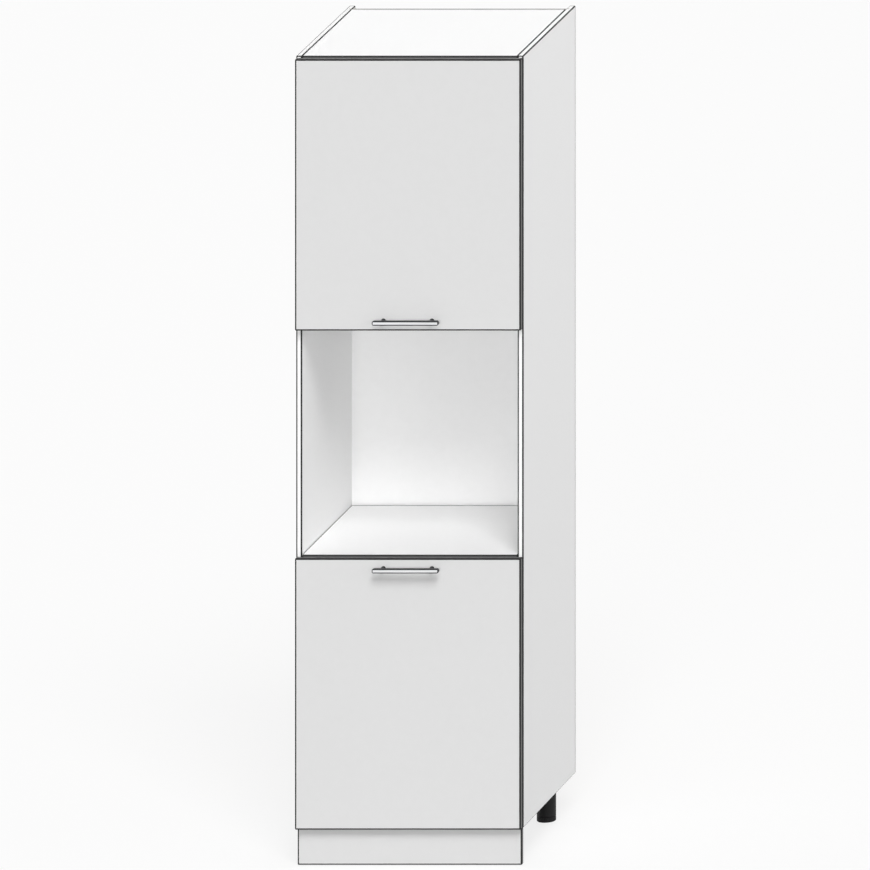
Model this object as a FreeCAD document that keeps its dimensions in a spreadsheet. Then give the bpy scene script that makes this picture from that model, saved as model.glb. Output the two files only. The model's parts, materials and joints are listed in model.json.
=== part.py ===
import FreeCAD, Part
import os
import Sketcher

# Tall kitchen cabinet with an oven niche between two side-hung doors.
# Every size is a cell of one sheet, in millimetres.
# The doors face -Y, +Z is up, and the floor is at zero.

doc = FreeCAD.newDocument("TallCabinet")
sheet = doc.addObject("Spreadsheet::Sheet", "Sizes")

SIZES = [
    # Carcass
    ("cabinet_width", 600), ("carcass_depth", 560), ("carcass_height", 2036),
    ("panel_thick", 16), ("leg_height", 100), ("base_height", 720),
    ("niche_height", 592), ("rear_space", 40), ("back_thick", 3.2),
    ("groove_width", 4), ("groove_depth", 8), ("back_play", 1),
    # Shelves on pins
    ("shelf_setback", 25), ("shelf_rear_play", 15), ("shelf_end_play", 0.5),
    ("pin_front", 60), ("peg_radius", 2.5), ("peg_sink", 8),
    ("peg_head_radius", 3.5), ("peg_reach", 8), ("peg_bevel", 0.8),
    ("spare_pitch", 32),
    # Cam fittings and dowels
    ("fitting_front", 110), ("fitting_rear", 130), ("cam_radius", 7.5),
    ("cam_sink", 12.5), ("cam_setback", 24), ("bolt_radius", 3.5),
    ("bolt_thread_radius", 2.5), ("bolt_sink", 11), ("dowel_radius", 4),
    ("dowel_sink", 10), ("dowel_reach", 20), ("dowel_bevel", 1.8),
    # Doors
    ("door_thick", 18), ("door_gap", 3), ("door_reveal", 2),
    ("door_end_gap", 4), ("door_round", 1.5),
    ("bumper_radius", 4), ("bumper_thick", 2.7), ("bumper_inset", 8),
    ("bumper_round", 2),
    # Handles
    ("handle_length", 176), ("handle_tall", 12), ("handle_thick", 11),
    ("handle_reach", 30), ("handle_pitch", 128), ("handle_edge", 26.5),
    ("handle_corner", 4.8), ("handle_round", 1.6), ("post_radius", 5),
    ("flare_radius", 6.2), ("flare_length", 2.4), ("flare_rim", 1),
    ("grip_screw_radius", 2),
    ("grip_screw_bite", 9), ("grip_head_radius", 4.5), ("grip_head_thick", 2),
    # Cup hinges
    ("hinge_share", 0.14), ("hinge_edge", 8), ("hinge_depth", 9),
    ("hinge_pin_radius", 1.1), ("hinge_play", 0.05), ("hinge_pin_length", 18.5),
    ("cup_radius", 17.5), ("cup_wall", 1), ("cup_sink", 12.5), ("cup_edge", 4),
    ("cup_round", 2.5), ("hollow_round", 1.5), ("notch_depth", 5), ("notch_play", 1),
    ("flange_thick", 1.2), ("flange_length", 56), ("flange_width", 22),
    ("flange_round", 6),
    ("cup_screw_pitch", 45), ("eye_radius", 2.3), ("arm_reach", 13),
    ("arm_thick", 3), ("arm_nose", 7), ("arm_width", 14), ("arm_back", 62),
    ("arm_step", 5), ("arm_bend", 1), ("channel_wall", 1.2), ("channel_gap", 0.5),
    ("channel_round", 1), ("slot_radius", 2.5), ("slot_length", 12),
    ("rail_front", 12), ("rail_rear", 58), ("rail_play", 0.3), ("base_width", 18),
    ("wing_thick", 2), ("wing_front", 28), ("wing_rear", 46),
    ("wing_length", 50), ("wing_round", 4), ("system_line", 37),
    ("system_pitch", 32),
    # Screws for chipboard
    ("screw_radius", 1.75), ("screw_bite", 12), ("screw_head_radius", 3.5),
    ("screw_head_thick", 1.6),
    # Legs and plinth
    ("leg_side", 52), ("leg_front", 60), ("leg_rear", 104), ("leg_radius", 25),
    ("leg_bevel", 1), ("mount_thick", 8), ("spigot_radius", 14), ("spigot_length", 16),
    ("spigot_lead", 1.5),
    ("leg_peg_radius", 5), ("leg_peg_length", 11), ("leg_peg_ring", 16),
    ("foot_thick", 14), ("foot_bevel", 2), ("grip_radius", 1.6), ("grip_depth", 0.7),
    ("stem_radius", 9), ("stem_length", 44),
    ("stem_play", 0.08), ("stem_space", 4), ("plinth_thick", 16),
    ("plinth_side", 4), ("plinth_lift", 2), ("plinth_top_gap", 2), ("plinth_round", 1.2),
    ("clip_wall", 3), ("clip_low", 40), ("clip_tall", 20), ("clip_width", 24),
    ("clip_foot_tall", 44), ("clip_foot_thick", 3), ("clip_open", 8),
]
# Scallops round the rim of each foot
GRIPS = 24
# Points closer than this are the same corner of an outline
SAME = 1e-4

for row, (alias, value) in enumerate(SIZES, start=1):
    sheet.set("A%d" % row, alias)
    sheet.set("B%d" % row, str(value))
    sheet.setAlias("B%d" % row, alias)
doc.recompute()


def put(text):
    """Turn words such as {panel_thick} in an expression into sheet cells."""
    return text.replace("{", "Sizes.").replace("}", "")


def bind(item, **values):
    """Bind properties of an object to expressions on the sheet."""
    for name, text in values.items():
        item.setExpression(name.replace("__", "."), put(text))
    return item


def place(item, x, y, z):
    """Bind the three coordinates of an object's placement."""
    for letter, text in zip("xyz", (x, y, z)):
        item.setExpression("Placement.Base." + letter, put(text))
    return item


def box(label, x, y, z, length, width, height):
    """A block from its low corner and its three sizes."""
    item = doc.addObject("Part::Box", "Block")
    item.Label = label
    bind(item, Length=length, Width=width, Height=height)
    return place(item, x, y, z)


TURNS = {
    "x": FreeCAD.Rotation(FreeCAD.Vector(0, 1, 0), 90),
    "y": FreeCAD.Rotation(FreeCAD.Vector(1, 0, 0), -90),
    "z": FreeCAD.Rotation(),
}


def rod(label, axis, x, y, z, radius, length):
    """A round bar that starts at a point and runs along +X, +Y or +Z."""
    item = doc.addObject("Part::Cylinder", "Rod")
    item.Label = label
    item.Placement = FreeCAD.Placement(FreeCAD.Vector(), TURNS[axis])
    bind(item, Radius=radius, Height=length)
    return place(item, x, y, z)


def group(label, items):
    """Several separate solids kept together under one name."""
    item = doc.addObject("Part::Compound", "Group")
    item.Label = label
    item.Links = items
    return item


def joined(label, items):
    """Several blocks and bars made into one solid."""
    item = doc.addObject("Part::MultiFuse", "Join")
    item.Label = label
    item.Shapes = items
    item.Refine = True
    return item


def cut(label, base, tools):
    """A solid with a list of tool shapes taken out of it."""
    item = doc.addObject("Part::Cut", "Cut")
    item.Label = label
    item.Base = base
    item.Tool = tools[0] if len(tools) == 1 else group(label + "_tools", tools)
    return item


def number(text):
    """The present value of an expression on the sheet."""
    return float(sheet.evalExpression(put(text)))


def soften(body, round_text, pick):
    """Round the edges of a body's last feature that pick accepts."""
    doc.recompute()
    base = body.Tip
    names = ["Edge%d" % i for i, edge in enumerate(base.Shape.Edges, start=1) if pick(edge)]
    soft = body.newObject("PartDesign::Fillet", "Soft")
    soft.Base = (base, names)
    bind(soft, Radius=round_text)
    body.Tip = soft


def new_body(label):
    """An empty body with a name."""
    body = doc.addObject("PartDesign::Body", "Body")
    body.Label = label
    return body


def rounded_block(label, size, rounds):
    """A body: one box with the edges along an axis, or round its two Y faces, rounded."""
    body = new_body(label)
    block = body.newObject("PartDesign::AdditiveBox", "Core")
    bind(block, Length=size[0], Width=size[1], Height=size[2])
    for round_text, way in rounds:
        if way == "rim":
            soften(body, round_text, lambda edge: edge.BoundBox.YLength < SAME)
        else:
            soften(body, round_text, lambda edge: edge.BoundBox.YLength > edge.Length - SAME)
    return body


def outline(body, points):
    """A closed sketch in a body. Each corner is a pair of expressions, empty for zero."""
    sketch = body.newObject("Sketcher::SketchObject", "Outline")
    flat = next(item for item in body.Origin.OriginFeatures if item.Role == "XY_Plane")
    sketch.AttachmentSupport = [(flat, "")]
    sketch.MapMode = "FlatFace"
    spots = [FreeCAD.Vector(*(number(text) if text else 0 for text in pair), 0) for pair in points]
    count = len(spots)
    for i, spot in enumerate(spots):
        sketch.addGeometry(Part.LineSegment(spot, spots[(i + 1) % count]), False)
    for i, pair in enumerate(points):
        sketch.addConstraint(Sketcher.Constraint("Coincident", i, 2, (i + 1) % count, 1))
        for letter, axis, text, value in zip("XY", (-2, -1), pair, spots[i]):
            if not text:
                sketch.addConstraint(Sketcher.Constraint("PointOnObject", i, 1, axis))
                continue
            index = sketch.addConstraint(Sketcher.Constraint("Distance" + letter, -1, 1, i, 1, value))
            name = "corner_%s_%d" % (letter, i)
            sketch.renameConstraint(index, name)
            sketch.setExpression("Constraints." + name, put(text))
    return sketch, spots


def at_corner(edge, spots):
    """True for an edge that a corner of the outline leaves: a circle round Y or a line along Z."""
    if hasattr(edge.Curve, "Radius"):
        spot = FreeCAD.Vector(edge.Curve.Radius, edge.Curve.Center.y, 0)
    elif edge.BoundBox.ZLength > edge.Length - SAME:
        spot = FreeCAD.Vector(edge.Vertexes[0].X, edge.Vertexes[0].Y, 0)
    else:
        return False
    return any(spot.isEqual(other, SAME) for other in spots)


# Ways to lay a body down: the turned ones have their axis along Y, the padded ones rise along Z
LAID = {
    "y": FreeCAD.Rotation(),
    "z": FreeCAD.Rotation(FreeCAD.Vector(1, 0, 0), 90),
    "x": FreeCAD.Rotation(FreeCAD.Vector(0, 0, 1), -90),
    "-x": FreeCAD.Rotation(FreeCAD.Vector(0, 0, 1), 90),
}
RISEN = {
    "z": FreeCAD.Rotation(),
    "y": FreeCAD.Rotation(FreeCAD.Vector(1, 1, 1), 240),
    "x": FreeCAD.Rotation(FreeCAD.Vector(1, 1, 1), 120),
}


def finished(body, spots, rounds, turn, x, y, z):
    """Round the named corners of a body, turn it and put it in place."""
    for round_text, corners in rounds:
        chosen = [spots[i] for i in corners]
        soften(body, round_text, lambda edge: at_corner(edge, chosen))
    body.Placement = FreeCAD.Placement(FreeCAD.Vector(), turn)
    return place(body, x, y, z)


def turned(label, axis, points, x, y, z, rounds=()):
    """A body turned on a lathe: an outline of radius and length carried round its axis."""
    body = new_body(label)
    sketch, spots = outline(body, points)
    spin = body.newObject("PartDesign::Revolution", "Spin")
    spin.Profile = sketch
    spin.ReferenceAxis = (sketch, ["V_Axis"])
    spin.Angle = 360
    return finished(body, spots, rounds, LAID[axis], x, y, z)


def padded(label, axis, points, length, x, y, z, rounds=()):
    """A body of one outline with a thickness along an axis."""
    body = new_body(label)
    sketch, spots = outline(body, points)
    pad = body.newObject("PartDesign::Pad", "Pad")
    pad.Profile = sketch
    bind(pad, Length=length)
    return finished(body, spots, rounds, RISEN[axis], x, y, z)


def fluted(body, far, radius):
    """Cut scallops round the axis of a turned body, all the way along it."""
    doc.recompute()
    sketch = body.newObject("Sketcher::SketchObject", "Scallop")
    flat = next(item for item in body.Origin.OriginFeatures if item.Role == "XZ_Plane")
    sketch.AttachmentSupport = [(flat, "")]
    sketch.MapMode = "FlatFace"
    centre = FreeCAD.Vector(number(far), 0, 0)
    sketch.addGeometry(Part.Circle(centre, FreeCAD.Vector(0, 0, 1), number(radius)), False)
    sketch.addConstraint(Sketcher.Constraint("PointOnObject", 0, 3, -1))
    for name, text, constraint in (
            ("far", far, Sketcher.Constraint("DistanceX", -1, 1, 0, 3, number(far))),
            ("round", radius, Sketcher.Constraint("Radius", 0, number(radius)))):
        sketch.renameConstraint(sketch.addConstraint(constraint), name)
        sketch.setExpression("Constraints." + name, put(text))
    scallop = body.newObject("PartDesign::Pocket", "Flute")
    scallop.Profile = sketch
    scallop.Type = "ThroughAll"
    scallop.Midplane = True
    ring = body.newObject("PartDesign::PolarPattern", "Ring")
    ring.Originals = [scallop]
    ring.Axis = (sketch, ["N_Axis"])
    ring.Angle = 360
    ring.Occurrences = GRIPS
    body.Tip = ring
    return body


HALF = "({cabinet_width} / 2)"
INNER = "({cabinet_width} / 2 - {panel_thick})"
FRONT = "(({handle_reach} + {door_thick} + {door_gap} - {carcass_depth}) / 2)"
DECK = "({carcass_depth} - {rear_space})"
LOW = "{leg_height}"
TOP = "({leg_height} + {carcass_height})"
NICHE_LOW = "({leg_height} + {base_height})"
NICHE_HIGH = "({leg_height} + {base_height} + {niche_height})"
DOOR_BACK = "(" + FRONT + " - {door_gap})"
DOOR_FACE = "(" + FRONT + " - {door_gap} - {door_thick})"
DOOR_EDGE = "({door_reveal} - {cabinet_width} / 2)"

# Places of the boards that lie flat, by the height of their lower face
DECKS = {
    "bottom_panel": LOW,
    "niche_floor": "(" + NICHE_LOW + " - {panel_thick})",
    "niche_ceiling": NICHE_HIGH,
    "top_panel": "(" + TOP + " - {panel_thick})",
}
UPPER_BASE = "(" + NICHE_HIGH + " + {panel_thick})"
UPPER_SPACE = "((" + TOP + " - " + NICHE_HIGH + " - 4 * {panel_thick}) / 3)"
LOWER_SPACE = "(({base_height} - 3 * {panel_thick}) / 2)"
SHELVES = {
    "lower_shelf": "(" + LOW + " + {panel_thick} + " + LOWER_SPACE + ")",
    "upper_shelf_low": "(" + UPPER_BASE + " + " + UPPER_SPACE + ")",
    "upper_shelf_high": "(" + UPPER_BASE + " + 2 * " + UPPER_SPACE + " + {panel_thick})",
}
# Each door covers its own section of the carcass, less a gap at the ends
DOORS = {
    "lower": LOW,
    "upper": "(" + NICHE_HIGH + " + {door_end_gap})",
}
DOOR_TALL = {
    "lower": "({base_height} - {door_end_gap})",
    "upper": "({carcass_height} - {base_height} - {niche_height} - 2 * {door_end_gap})",
}
nodes = []


def keep(item):
    """List a finished sub-part for writing."""
    nodes.append(item)
    return item


# Pegs, cam fittings and dowels, with the bores that they sit in
fitting_rows = ["{fitting_front}", "(" + DECK + " - {fitting_rear})"]
peg_rows = ["{pin_front}", "(" + DECK + " - {pin_front})"]
side_bores = {"left": [], "right": []}
deck_bores = {name: [] for name in DECKS}
pegs, cams, bolts, dowels = [], [], [], []


def cross_rod(label, side, y, z, radius, sink, reach):
    """A bar along X, part in the side board and part inside the cabinet."""
    if side == "left":
        start = "-" + INNER + " - " + sink
    else:
        start = INNER + " - " + reach
    return rod(label, "x", start, y, z, radius, sink + " + " + reach)


def cross_turned(label, side, y, z, sink, points):
    """A turned piece along X that starts in the side board and runs into the cabinet."""
    if side == "left":
        return turned(label, "x", points, "-" + INNER + " - " + sink, y, z)
    return turned(label, "-x", points, INNER + " + " + sink, y, z)


for side in ("left", "right"):
    for shelf, shelf_z in SHELVES.items():
        for peg_row in peg_rows:
            y = FRONT + " + " + peg_row
            z = shelf_z + " - {peg_head_radius}"
            peg_long = "{peg_sink} + {peg_reach}"
            pegs.append(cross_turned("peg", side, y, z, "{peg_sink}", [
                ("", ""), ("{peg_radius} - {peg_bevel}", ""), ("{peg_radius}", "{peg_bevel}"),
                ("{peg_radius}", "{peg_sink}"), ("{peg_head_radius}", "{peg_sink}"),
                ("{peg_head_radius}", peg_long + " - {peg_bevel}"),
                ("{peg_head_radius} - {peg_bevel}", peg_long), ("", peg_long)]))
            for step in (" - {spare_pitch}", "", " + {spare_pitch}"):
                side_bores[side].append(
                    cross_rod("peg_bore", side, y, z + step, "{peg_radius}", "{peg_sink}", "0 * {peg_reach}"))
    for deck, deck_z in DECKS.items():
        middle = deck_z + " + {panel_thick} / 2"
        cam_z = deck_z
        if deck == "niche_ceiling":
            cam_z = deck_z + " + {panel_thick} - {cam_sink}"
        cam_x = "-" + INNER + " + {cam_setback}"
        if side == "right":
            cam_x = INNER + " - {cam_setback}"
        for fitting_row in fitting_rows:
            y = FRONT + " + " + fitting_row
            shaft = cross_rod("bolt_shaft", side, y, middle,
                              "{bolt_radius}", "0 * {bolt_sink}", "{cam_setback}")
            thread = cross_rod("bolt_thread", side, y, middle,
                               "{bolt_thread_radius}", "{bolt_sink}", "{cam_setback}")
            bolts.append(joined("bolt", [shaft, thread]))
            side_bores[side].append(cross_rod("bolt_bore", side, y, middle,
                                              "{bolt_thread_radius}", "{bolt_sink}", "0 * {bolt_sink}"))
            channel = cross_rod("shaft_bore", side, y, middle,
                                "{bolt_radius}", "0 * {bolt_sink}", "{cam_setback}")
            deck_bores[deck].append(channel)
            deck_bores[deck].append(rod("cam_bore", "z", cam_x, y, cam_z, "{cam_radius}", "{cam_sink}"))
            disc = rod("cam_disc", "z", cam_x, y, cam_z, "{cam_radius}", "{cam_sink}")
            cams.append(cut("cam", disc, [channel]))
        y = FRONT + " + " + DECK + " / 2"
        dowel_long = "{dowel_sink} + {dowel_reach}"
        dowels.append(cross_turned("dowel", side, y, middle, "{dowel_sink}", [
            ("", ""), ("{dowel_radius} - {dowel_bevel}", ""), ("{dowel_radius}", "{dowel_bevel}"),
            ("{dowel_radius}", dowel_long + " - {dowel_bevel}"),
            ("{dowel_radius} - {dowel_bevel}", dowel_long), ("", dowel_long)]))
        side_bores[side].append(
            cross_rod("dowel_bore", side, y, middle, "{dowel_radius}", "{dowel_sink}", "0 * {dowel_sink}"))
        deck_bores[deck].append(
            cross_rod("dowel_bore", side, y, middle, "{dowel_radius}", "0 * {dowel_sink}", "{dowel_reach}"))

# Concealed cup hinges: cup and pin in the door, arm and plate on the side
PIN_X = "(" + DOOR_EDGE + " + {hinge_edge})"
PIN_Y = "(" + DOOR_BACK + " - {hinge_depth})"
CUP_X = "(" + DOOR_EDGE + " + {cup_edge} + {cup_radius})"
ARM_X = "(" + PIN_X + " + {arm_reach} - {arm_thick} / 2)"
plate_screws = []
door_tools = {"upper": [], "lower": []}


def screw(label, axis, x, y, z):
    """A chipboard screw: a pan head on the surface and a shank in the board."""
    if axis == "x":
        head = rod("head", "x", x, y, z, "{screw_head_radius}", "{screw_head_thick}")
        shank = rod("shank", "x", x + " - {screw_bite}", y, z,
                    "{screw_radius}", "{screw_bite} + {screw_head_thick}")
        return joined(label, [head, shank])
    head = rod("head", "y", x, y, z, "{screw_head_radius}", "{screw_head_thick}")
    shank = rod("shank", "y", x, y + " - {screw_bite}", z,
                "{screw_radius}", "{screw_bite} + {screw_head_thick}")
    return joined(label, [head, shank])


for door, door_z in DOORS.items():
    door_tall = DOOR_TALL[door]
    cup_screws = []
    for end in ("low", "high"):
        name = "%s_door_%s_hinge" % (door, end)
        level = "(" + door_z + " + {hinge_share} * " + door_tall + ")"
        if end == "high":
            level = "(" + door_z + " + (1 - {hinge_share}) * " + door_tall + ")"

        def bar_z(label, radius, length):
            """A bar along the hinge line, centred on this hinge."""
            return rod(label, "z", PIN_X, PIN_Y, level + " - (" + length + ") / 2", radius, length)

        keep(bar_z(name + "_pin", "{hinge_pin_radius}", "{hinge_pin_length}"))
        cup_low = DOOR_BACK + " - {cup_sink}"
        cup_deep = "{cup_sink} + {flange_thick}"
        cup = turned("cup_body", "y", [
            ("", ""), ("{cup_radius}", ""), ("{cup_radius}", cup_deep), ("", cup_deep)],
            CUP_X, cup_low, level, [("{cup_round}", [1])])
        flange = padded("flange", "y", [
            ("", ""), ("{flange_length}", ""), ("{flange_length}", "{flange_width}"), ("", "{flange_width}")],
            "{flange_thick}", CUP_X + " - {flange_width} / 2", DOOR_BACK, level + " - {flange_length} / 2",
            [("{flange_round}", [0, 1, 2, 3])])
        bowl = "{cup_radius} - {cup_wall}"
        hollow = turned("hollow", "y", [("", ""), (bowl, ""), (bowl, cup_deep), ("", cup_deep)],
                        CUP_X, cup_low + " + {cup_wall}", level, [("{hollow_round}", [1])])
        trim = box("edge_trim", CUP_X + " - 2 * {cup_radius}", DOOR_BACK, level + " - {cup_radius}",
                   "2 * {cup_radius} - {flange_width} / 2", "{flange_thick}", "2 * {cup_radius}")
        notch = box("notch", CUP_X + " - {cup_radius}", DOOR_BACK + " - {notch_depth}",
                    level + " - {arm_nose} / 2 - {notch_play}", "{cup_radius} / 2",
                    "{notch_depth} + {flange_thick}", "{arm_nose} + 2 * {notch_play}")
        cup_tools = [hollow, trim, notch, bar_z("seat", "{hinge_pin_radius}", "{hinge_pin_length}")]
        for sign in (" - ", " + "):
            spot = level + sign + "{cup_screw_pitch} / 2"
            surface = DOOR_BACK + " + {flange_thick}"
            cup_screws.append(screw("cup_screw", "y", CUP_X, surface, spot))
            bore = [CUP_X, surface + " - {screw_bite}", spot, "{screw_radius}", "{screw_bite}"]
            cup_tools.append(rod("screw_bore", "y", *bore))
            door_tools[door].append(rod("screw_bore", "y", *bore))
        keep(cut(name + "_cup", joined("cup_blank", [cup, flange]), cup_tools))
        door_tools[door].append(rod("cup_bore", "y", CUP_X, cup_low, level, "{cup_radius}", "{cup_sink}"))

        # The arm hooks round the pin inside the cup, bends back and widens to a channel
        eye = bar_z("eye", "{eye_radius}", "{arm_nose}")
        out, back = "{arm_reach} + {arm_thick} / 2", "{arm_reach} - {arm_thick} / 2"
        run = FRONT + " - " + PIN_Y + " + {arm_thick} / 2 + 2 * {arm_step}"
        hook = padded("hook", "z", [
            ("", ""), (out, ""), (out, run), (back, run), (back, "{arm_thick}"), ("", "{arm_thick}")],
            "{arm_nose}", PIN_X, PIN_Y + " - {arm_thick} / 2", level + " - {arm_nose} / 2",
            [("{arm_thick} + {arm_bend}", [1]), ("{arm_bend}", [4])])
        rail_tall = "(" + ARM_X + " + " + INNER + ")"
        skirt = "(" + rail_tall + " - {wing_thick} - {channel_gap})"
        deep = skirt + " + {arm_thick}"
        far_wall = "{arm_width} - {channel_wall}"
        channel = padded("channel", "y", [
            ("", ""), ("{channel_wall}", ""), ("{channel_wall}", skirt), (far_wall, skirt), (far_wall, ""),
            ("{arm_width}", ""), ("{arm_width}", deep), ("", deep)],
            "{arm_back} - {arm_step}", ARM_X + " - " + skirt, FRONT + " + {arm_step}",
            level + " - {arm_width} / 2", [("{channel_round}", [6, 7])])
        slot_end = FRONT + " + {arm_back} - {slot_length}"
        slot = box("slot", ARM_X, slot_end, level + " - {slot_radius}", "{arm_thick}", "{slot_length}",
                   "2 * {slot_radius}")
        slot_round = rod("slot_round", "x", ARM_X, slot_end, level, "{slot_radius}", "{arm_thick}")
        eye_bore = bar_z("eye_bore", "{hinge_pin_radius} + {hinge_play}", "{arm_nose}")
        keep(cut(name + "_arm", joined("arm_blank", [eye, hook, channel]), [eye_bore, slot, slot_round]))

        # The mounting plate: a cross with rounded ends, and a rail inside the channel of the arm
        near_rail, far_rail = "({wing_length} - {base_width}) / 2", "({wing_length} + {base_width}) / 2"
        wing_near, wing_far = "{wing_front} - {rail_front}", "{wing_rear} - {rail_front}"
        rail_long = "{rail_rear} - {rail_front}"
        cross = padded("cross", "x", [
            ("", near_rail), (wing_near, near_rail), (wing_near, ""), (wing_far, ""), (wing_far, near_rail),
            (rail_long, near_rail), (rail_long, far_rail), (wing_far, far_rail), (wing_far, "{wing_length}"),
            (wing_near, "{wing_length}"), (wing_near, far_rail), ("", far_rail)],
            "{wing_thick}", "-" + INNER, FRONT + " + {rail_front}", level + " - {wing_length} / 2",
            [("{wing_round}", [0, 2, 3, 5, 6, 8, 9, 11])])
        rail_width = "({arm_width} - 2 * {channel_wall} - 2 * {rail_play})"
        rail = box("rail", "-" + INNER, FRONT + " + {rail_front}", level + " - " + rail_width + " / 2",
                   rail_tall, rail_long, rail_width)
        plate_tools = []
        for sign in (" - ", " + "):
            spot = level + sign + "{system_pitch} / 2"
            y = FRONT + " + {system_line}"
            x = "-" + INNER + " + {wing_thick}"
            plate_screws.append(screw("plate_screw", "x", x, y, spot))
            bore = [x + " - {screw_bite}", y, spot, "{screw_radius}", "{screw_bite}"]
            plate_tools.append(rod("screw_bore", "x", *bore))
            side_bores["left"].append(rod("screw_bore", "x", *bore))
        keep(cut(name + "_plate", joined("plate_blank", [rail, cross]), plate_tools))
    keep(group(door + "_door_cup_screws", cup_screws))

    # Handle: a bar on two posts, each held by a screw through the door
    handle_z = "(" + door_z + " + {handle_edge})"
    if door == "lower":
        handle_z = "(" + door_z + " + " + door_tall + " - {handle_edge})"
    bar = rounded_block(door + "_handle_bar", ["{handle_length}", "{handle_thick}", "{handle_tall}"],
                        [("{handle_corner}", "ends"), ("{handle_round}", "rim")])
    keep(place(bar, "-{handle_length} / 2", DOOR_FACE + " - {handle_reach}",
               handle_z + " - {handle_tall} / 2"))
    posts, grip_screws = [], []
    for sign in ("-", ""):
        x = sign + "{handle_pitch} / 2"
        stand = "({handle_reach} - {handle_thick})"
        post = turned("post", "y", [
            ("", ""), ("{post_radius}", ""), ("{post_radius}", stand + " - {flare_length}"),
            ("{flare_radius}", stand + " - {flare_rim}"), ("{flare_radius}", stand), ("", stand)],
            x, DOOR_FACE + " - " + stand, handle_z)
        run = [x, DOOR_FACE + " - {grip_screw_bite}", handle_z, "{grip_screw_radius}",
               "{grip_screw_bite} + {door_thick}"]
        posts.append(cut("post_bored", post, [rod("thread", "y", *run)]))
        head = rod("head", "y", x, DOOR_BACK, handle_z, "{grip_head_radius}", "{grip_head_thick}")
        grip_screws.append(joined("grip_screw", [rod("shank", "y", *run), head]))
        door_tools[door].append(rod("screw_way", "y", *run))
    keep(group(door + "_handle_posts", posts))
    keep(group(door + "_handle_screws", grip_screws))

    # Soft bumpers behind the free edge
    bumpers = []
    for spot in (door_z + " + {bumper_inset}", door_z + " + " + door_tall + " - {bumper_inset}"):
        bumpers.append(turned("bumper", "y", [
            ("", ""), ("{bumper_radius}", ""), ("{bumper_radius}", "{bumper_thick}"), ("", "{bumper_thick}")],
            HALF + " - {door_reveal} - {bumper_inset}", DOOR_BACK, spot, [("{bumper_round}", [2])]))
    keep(group(door + "_door_bumpers", bumpers))

    # Door leaf with the edges of its two faces eased
    door_wide = "{cabinet_width} - 2 * {door_reveal}"
    leaf = rounded_block(door + "_door_leaf", [door_wide, "{door_thick}", door_tall],
                         [("{door_round}", "rim")])
    place(leaf, DOOR_EDGE, DOOR_FACE, door_z)
    keep(cut(door + "_door", leaf, door_tools[door]))

# Side boards with the groove for the back and all their bores
for side in ("left", "right"):
    outer = "-" + HALF if side == "left" else INNER
    board = box("board", outer, FRONT, LOW, "{panel_thick}", "{carcass_depth}", "{carcass_height}")
    groove_x = "-" + INNER + " - {groove_depth}" if side == "left" else INNER
    groove = box("groove", groove_x, FRONT + " + " + DECK, LOW, "{groove_depth}", "{groove_width}",
                 "{carcass_height}")
    keep(cut(side + "_side_panel", board, [groove] + side_bores[side]))

# Legs: a mount pressed into the bottom board, a tube on it, a foot screwed in

for side, x in (("left", "{leg_side} - " + HALF), ("right", HALF + " - {leg_side}")):
    for row, y in (("front", FRONT + " + {leg_front}"),
                   ("rear", FRONT + " + {carcass_depth} - {leg_rear}")):
        name = "%s_%s_leg" % (row, side)
        mount_low = LOW + " - {mount_thick}"
        top = "{spigot_length} + {mount_thick}"
        plug = turned("plug", "z", [
            ("", ""), ("{spigot_radius} - {spigot_lead}", ""), ("{spigot_radius}", "{spigot_lead}"),
            ("{spigot_radius}", "{spigot_length}"), ("{leg_radius} - {leg_bevel}", "{spigot_length}"),
            ("{leg_radius}", "{spigot_length} + {leg_bevel}"), ("{leg_radius}", top), ("", top)],
            x, y, mount_low + " - {spigot_length}")
        parts = [plug]
        for sign in (" - ", " + "):
            for turn in ("x", "y"):
                peg_x = x + sign + "{leg_peg_ring}" if turn == "x" else x
                peg_y = y + sign + "{leg_peg_ring}" if turn == "y" else y
                parts.append(rod("press_peg", "z", peg_x, peg_y, LOW + " - {mount_thick} / 2",
                                 "{leg_peg_radius}", "{leg_peg_length} + {mount_thick} / 2"))
                deck_bores["bottom_panel"].append(
                    rod("press_bore", "z", peg_x, peg_y, LOW, "{leg_peg_radius}", "{leg_peg_length}"))
        keep(joined(name + "_mount", parts))
        tall = "(" + LOW + " - {mount_thick} - {foot_thick})"
        well = "{stem_radius} + {stem_play}"
        well_top = "{stem_length} + {stem_space}"
        socket = tall + " - {spigot_length}"
        keep(turned(name + "_tube", "z", [
            (well, ""), ("{leg_radius} - {leg_bevel}", ""), ("{leg_radius}", "{leg_bevel}"),
            ("{leg_radius}", tall + " - {leg_bevel}"), ("{leg_radius} - {leg_bevel}", tall),
            ("{spigot_radius}", tall), ("{spigot_radius}", socket), ("", socket), ("", well_top),
            (well, well_top)], x, y, "{foot_thick}"))
        stem_top = "{foot_thick} + {stem_length}"
        pad = turned(name + "_foot", "z", [
            ("", ""), ("{leg_radius} - {foot_bevel}", ""), ("{leg_radius}", "{foot_bevel}"),
            ("{leg_radius}", "{foot_thick} - {leg_bevel}"), ("{leg_radius} - {leg_bevel}", "{foot_thick}"),
            ("{stem_radius}", "{foot_thick}"), ("{stem_radius}", stem_top), ("", stem_top)],
            x, y, "0 * {foot_thick}")
        keep(fluted(pad, "{leg_radius} + {grip_radius} - {grip_depth}", "{grip_radius}"))

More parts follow.
